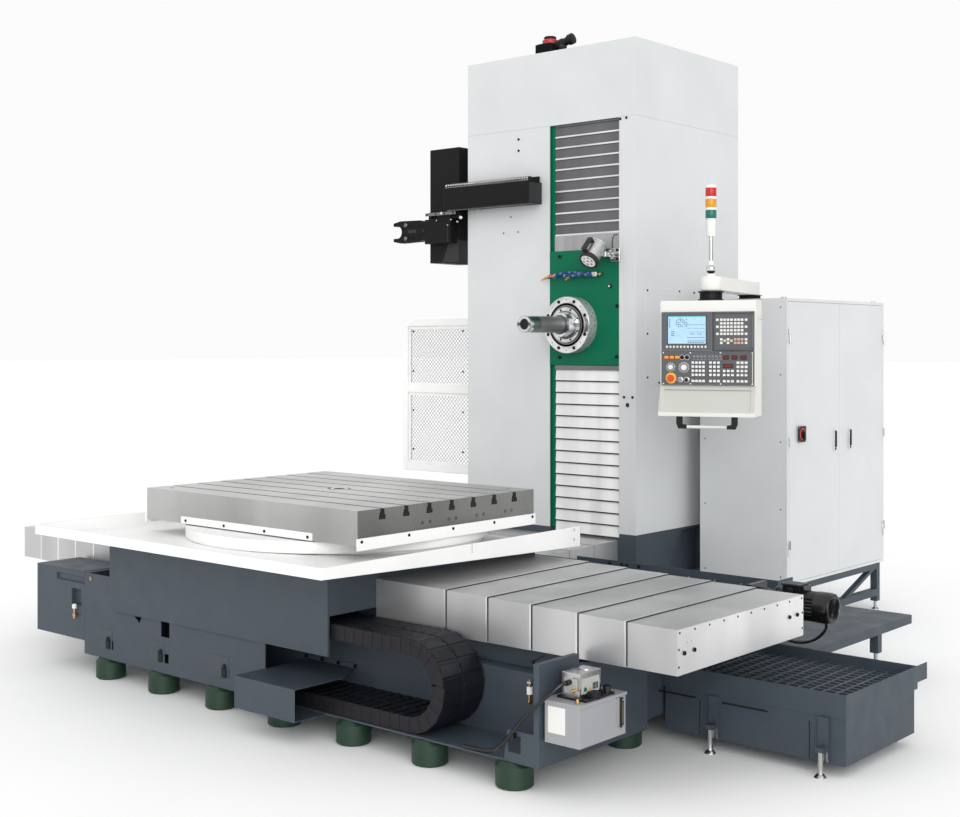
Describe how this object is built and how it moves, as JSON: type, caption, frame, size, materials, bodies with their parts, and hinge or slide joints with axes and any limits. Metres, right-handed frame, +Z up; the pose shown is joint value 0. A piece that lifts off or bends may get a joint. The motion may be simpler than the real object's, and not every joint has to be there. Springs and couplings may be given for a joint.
{
  "type": "cnc boring and milling machine",
  "caption": "Floor-standing horizontal boring and milling machine: tall column with headstock, slotted rotary table on a covered bed, tool changer, control cabinet and pendant.",
  "frame": {"origin": "on the floor under the table bed's middle foot", "axes": "+X to the right along the table bed, +Y back towards the column, +Z up"},
  "size_m": [5.49, 5.483, 4.194],
  "materials": {
    "casting": "painted satin",
    "white_paint": "satin",
    "green_paint": "satin",
    "foot_green": "painted",
    "steel": "machined",
    "dark_steel": "machined",
    "black_paint": "satin",
    "black_plastic": "matt",
    "ivory": "satin",
    "panel_grey": "matt",
    "stop_red": "gloss",
    "tower": "gloss",
    "nozzle": "satin"
  },
  "bodies": {
    "base": {"x_bed": "casting", "levelling_feet": "foot_green", "feed_screws": "steel", "bed_end_box": "casting", "x_covers_6": "steel", "carrier_box": "casting", "z_bed": "casting", "chip_trough": "casting", "auger_motor": "black_paint", "catch_tank": "casting", "tank_grate": "casting", "side_tray": "casting", "lube_tank": "ivory", "lube_pump": "steel", "cabinet": "white_paint", "cabinet_stand": "casting", "cabinet_panel": "steel", "z_covers": "steel"},
    "auger": {"auger": "dark_steel"},
    "door_front": {"door_front": "white_paint"},
    "door_rear": {"door_rear": "white_paint"},
    "main_switch": {"main_switch": "black_plastic"},
    "arm": {"pendant_arm": "ivory", "signal_tower": "tower"},
    "pendant": {"pendant_case": "ivory", "operator_panel": "panel_grey"},
    "e_stop": {"e_stop": "stop_red"},
    "feed_dial": {"feed_dial": "black_plastic"},
    "speed_dial": {"speed_dial": "black_plastic"},
    "saddle": {"saddle": "casting", "saddle_tray": "white_paint", "rotary_base": "white_paint", "x_covers_1": "steel"},
    "covers_2": {"x_covers_2": "steel"},
    "covers_3": {"x_covers_3": "steel"},
    "covers_4": {"x_covers_4": "steel"},
    "covers_5": {"x_covers_5": "steel"},
    "carrier_lower": {"carrier_lower": "black_plastic"},
    "carrier_upper": {"carrier_upper": "black_plastic"},
    "table": {"rotary_table": "steel", "table_skirt": "white_paint"},
    "column": {"column_saddle": "casting", "column_cover": "white_paint", "column_frame": "green_paint", "upper_way_cover": "dark_steel", "lower_way_cover": "steel", "y_drive_motor": "black_paint", "atc_housing": "black_paint", "atc_beam": "black_paint", "guard_cage": "white_paint"},
    "atc_carriage": {"atc_carriage": "black_paint"},
    "atc_gripper": {"atc_gripper": "black_paint"},
    "headstock": {"headstock": "green_paint", "headstock_cover": "steel", "spindle_flange": "steel", "coolant_nozzles": "nozzle"},
    "work_light": {"work_light": "steel"},
    "milling_spindle": {"milling_spindle": "steel"},
    "boring_spindle": {"spindle_nose": "dark_steel", "boring_spindle": "dark_steel"}
  },
  "joints": [
    {"name": "x_slide", "type": "slide", "parent": "base", "child": "saddle", "axis": [1, 0, 0], "range_m": [-0.95, 1]},
    {"name": "covers_2_slide", "type": "slide", "parent": "base", "child": "covers_2", "axis": [1, 0, 0], "range_m": [-0.76, 0.8]},
    {"name": "covers_3_slide", "type": "slide", "parent": "base", "child": "covers_3", "axis": [1, 0, 0], "range_m": [-0.57, 0.6]},
    {"name": "covers_4_slide", "type": "slide", "parent": "base", "child": "covers_4", "axis": [1, 0, 0], "range_m": [-0.38, 0.4]},
    {"name": "covers_5_slide", "type": "slide", "parent": "base", "child": "covers_5", "axis": [1, 0, 0], "range_m": [-0.19, 0.2]},
    {"name": "carrier_lower_slide", "type": "slide", "parent": "base", "child": "carrier_lower", "axis": [1, 0, 0], "range_m": [-0.475, 0.5], "deforming": ["carrier_lower"]},
    {"name": "carrier_upper_slide", "type": "slide", "parent": "saddle", "child": "carrier_upper", "axis": [1, 0, 0], "range_m": [-0.5, 0.475], "deforming": ["carrier_upper"]},
    {"name": "table_turn", "type": "hinge", "parent": "saddle", "child": "table", "pos_m": [-0.477, 0, 1], "axis": [0, 0, 1], "continuous": true},
    {"name": "z_slide", "type": "slide", "parent": "base", "child": "column", "axis": [0, 1, 0], "range_m": [-0.6, 0.5], "deforming": ["z_covers"]},
    {"name": "y_slide", "type": "slide", "parent": "column", "child": "headstock", "axis": [0, 0, 1], "range_m": [-0.72, 0.5], "deforming": ["upper_way_cover", "lower_way_cover"]},
    {"name": "spindle_turn", "type": "hinge", "parent": "headstock", "child": "milling_spindle", "pos_m": [-0.36, 2, 2.064], "axis": [0, 1, 0], "continuous": true},
    {"name": "w_slide", "type": "slide", "parent": "milling_spindle", "child": "boring_spindle", "axis": [0, -1, 0], "range_m": [-0.3, 0.25]},
    {"name": "light_tilt", "type": "hinge", "parent": "headstock", "child": "work_light", "pos_m": [-0.054, 1.988, 2.531], "axis": [1, 0, 0], "range_deg": [-30, 30]},
    {"name": "atc_traverse", "type": "slide", "parent": "column", "child": "atc_carriage", "axis": [1, 0, 0], "range_m": [0, 0.7]},
    {"name": "atc_pull", "type": "slide", "parent": "atc_carriage", "child": "atc_gripper", "axis": [0, -1, 0], "range_m": [0, 0.18]},
    {"name": "door_front_hinge", "type": "hinge", "parent": "base", "child": "door_front", "pos_m": [0.964, 2.666, 1.2], "axis": [0, 0, -1], "range_deg": [0, 90]},
    {"name": "door_rear_hinge", "type": "hinge", "parent": "base", "child": "door_rear", "pos_m": [0.964, 4.072, 1.2], "axis": [0, 0, 1], "range_deg": [0, 110]},
    {"name": "main_switch_turn", "type": "hinge", "parent": "door_front", "child": "main_switch", "pos_m": [0.966, 2.823, 1.326], "axis": [1, 0, 0], "range_deg": [0, 90]},
    {"name": "arm_swing", "type": "hinge", "parent": "base", "child": "arm", "pos_m": [0.626, 2.74, 2.3], "axis": [0, 0, 1], "range_deg": [-15, 35]},
    {"name": "pendant_turn", "type": "hinge", "parent": "arm", "child": "pendant", "pos_m": [0.87587, 1.83901, 2.2], "axis": [0, 0, 1], "range_deg": [-90, 90]},
    {"name": "e_stop_push", "type": "slide", "parent": "pendant", "child": "e_stop", "axis": [-0.342, 0.9397, 0], "range_m": [0, 0.006], "stiffness_N_per_m": 1200, "springref_m": -0.004},
    {"name": "feed_dial_turn", "type": "hinge", "parent": "pendant", "child": "feed_dial", "pos_m": [0.7798, 1.68485, 1.79], "axis": [0.342, -0.9397, 0], "range_deg": [-135, 135]},
    {"name": "speed_dial_turn", "type": "hinge", "parent": "pendant", "child": "speed_dial", "pos_m": [0.70274, 1.65681, 1.792], "axis": [0.342, -0.9397, 0], "range_deg": [-135, 135]},
    {"name": "auger_turn", "type": "hinge", "parent": "base", "child": "auger", "pos_m": [0, 0.84, 0.616], "axis": [1, 0, 0], "continuous": true}
  ],
  "couplings": [
    {"joint": "covers_2_slide", "follows": "x_slide", "ratio": 0.8},
    {"joint": "covers_3_slide", "follows": "x_slide", "ratio": 0.6},
    {"joint": "covers_4_slide", "follows": "x_slide", "ratio": 0.4},
    {"joint": "covers_5_slide", "follows": "x_slide", "ratio": 0.2},
    {"joint": "carrier_lower_slide", "follows": "x_slide", "ratio": 0.5},
    {"joint": "carrier_upper_slide", "follows": "x_slide", "ratio": -0.5}
  ]
}
